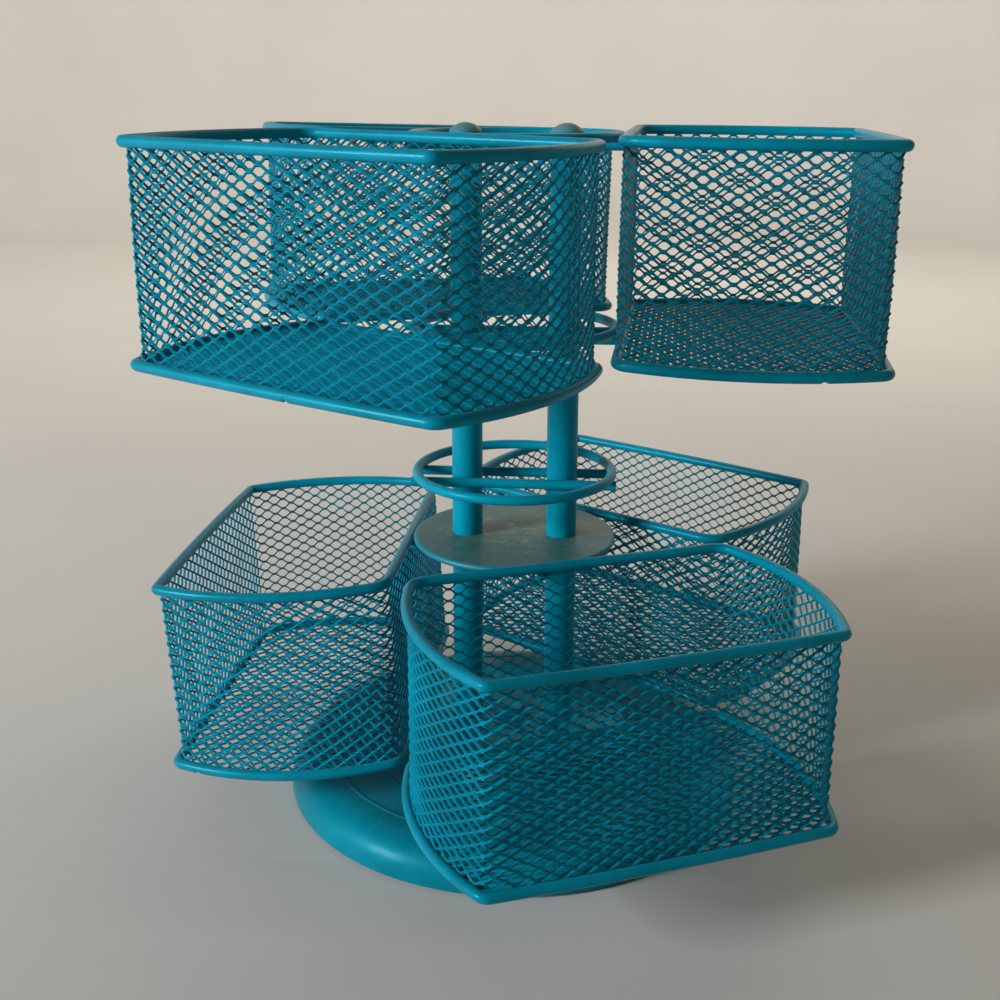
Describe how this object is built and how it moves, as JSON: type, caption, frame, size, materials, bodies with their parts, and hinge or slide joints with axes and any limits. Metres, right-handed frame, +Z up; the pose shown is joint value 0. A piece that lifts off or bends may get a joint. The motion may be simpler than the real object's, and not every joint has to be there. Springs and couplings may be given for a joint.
{
  "type": "tool storage caddy",
  "caption": "Two-tier revolving caddy: teal wire-mesh baskets in two tiers on twin posts over a round turntable base.",
  "frame": {"origin": "on the table, on the turntable's turning axis", "axes": "+Z up along the turning axis; the two posts lie along X; -Y faces the viewer"},
  "size_m": [0.282, 0.3038, 0.2784],
  "materials": {
    "powder": "glossy teal powder coat",
    "plate_paint": "dull, scuffed grey-teal powder coat",
    "cap_plastic": "satin grey-teal moulded plastic",
    "zinc": "zinc plated",
    "ball_steel": "polished",
    "foot_rubber": "matte"
  },
  "bodies": {
    "base": {"base_dish": "powder", "base_feet": "foot_rubber", "lower_race": "zinc", "pivot_bolt": "zinc", "pivot_washers": "zinc", "pivot_nut": "zinc"},
    "ball_cage": {"ball_cage": "zinc", "bearing_balls": "ball_steel"},
    "carousel": {"upper_race": "zinc", "turntable": "powder", "post_screws": "zinc", "left_post": "powder", "right_post": "powder", "post_plugs": "zinc", "left_cap": "cap_plastic", "right_cap": "cap_plastic", "middle_plate": "plate_paint", "spacer_ring": "powder", "spacer_front_bar": "powder", "spacer_back_bar": "powder", "upper_foot_ring": "powder", "upper_foot_front_bar": "powder", "upper_foot_back_bar": "powder", "top_ring": "powder", "top_front_bar": "powder", "top_back_bar": "powder", "lower_welds": "powder", "upper_welds": "powder", "lower_left_mesh": "powder", "lower_left_rim": "powder", "lower_left_foot": "powder", "lower_front_mesh": "powder", "lower_front_rim": "powder", "lower_front_foot": "powder", "lower_back_mesh": "powder", "lower_back_rim": "powder", "lower_back_foot": "powder", "upper_right_mesh": "powder", "upper_right_rim": "powder", "upper_right_foot": "powder", "upper_front_mesh": "powder", "upper_front_rim": "powder", "upper_front_foot": "powder", "upper_back_mesh": "powder", "upper_back_rim": "powder", "upper_back_foot": "powder"}
  },
  "joints": [
    {"name": "turntable_spin", "type": "hinge", "parent": "base", "child": "carousel", "pos_m": [0, 0, 0], "axis": [0, 0, 1], "continuous": true},
    {"name": "ball_cage_roll", "type": "hinge", "parent": "base", "child": "ball_cage", "pos_m": [0, 0, 0.0205], "axis": [0, 0, 1], "continuous": true}
  ],
  "couplings": [
    {"joint": "ball_cage_roll", "follows": "turntable_spin", "ratio": 0.5}
  ]
}
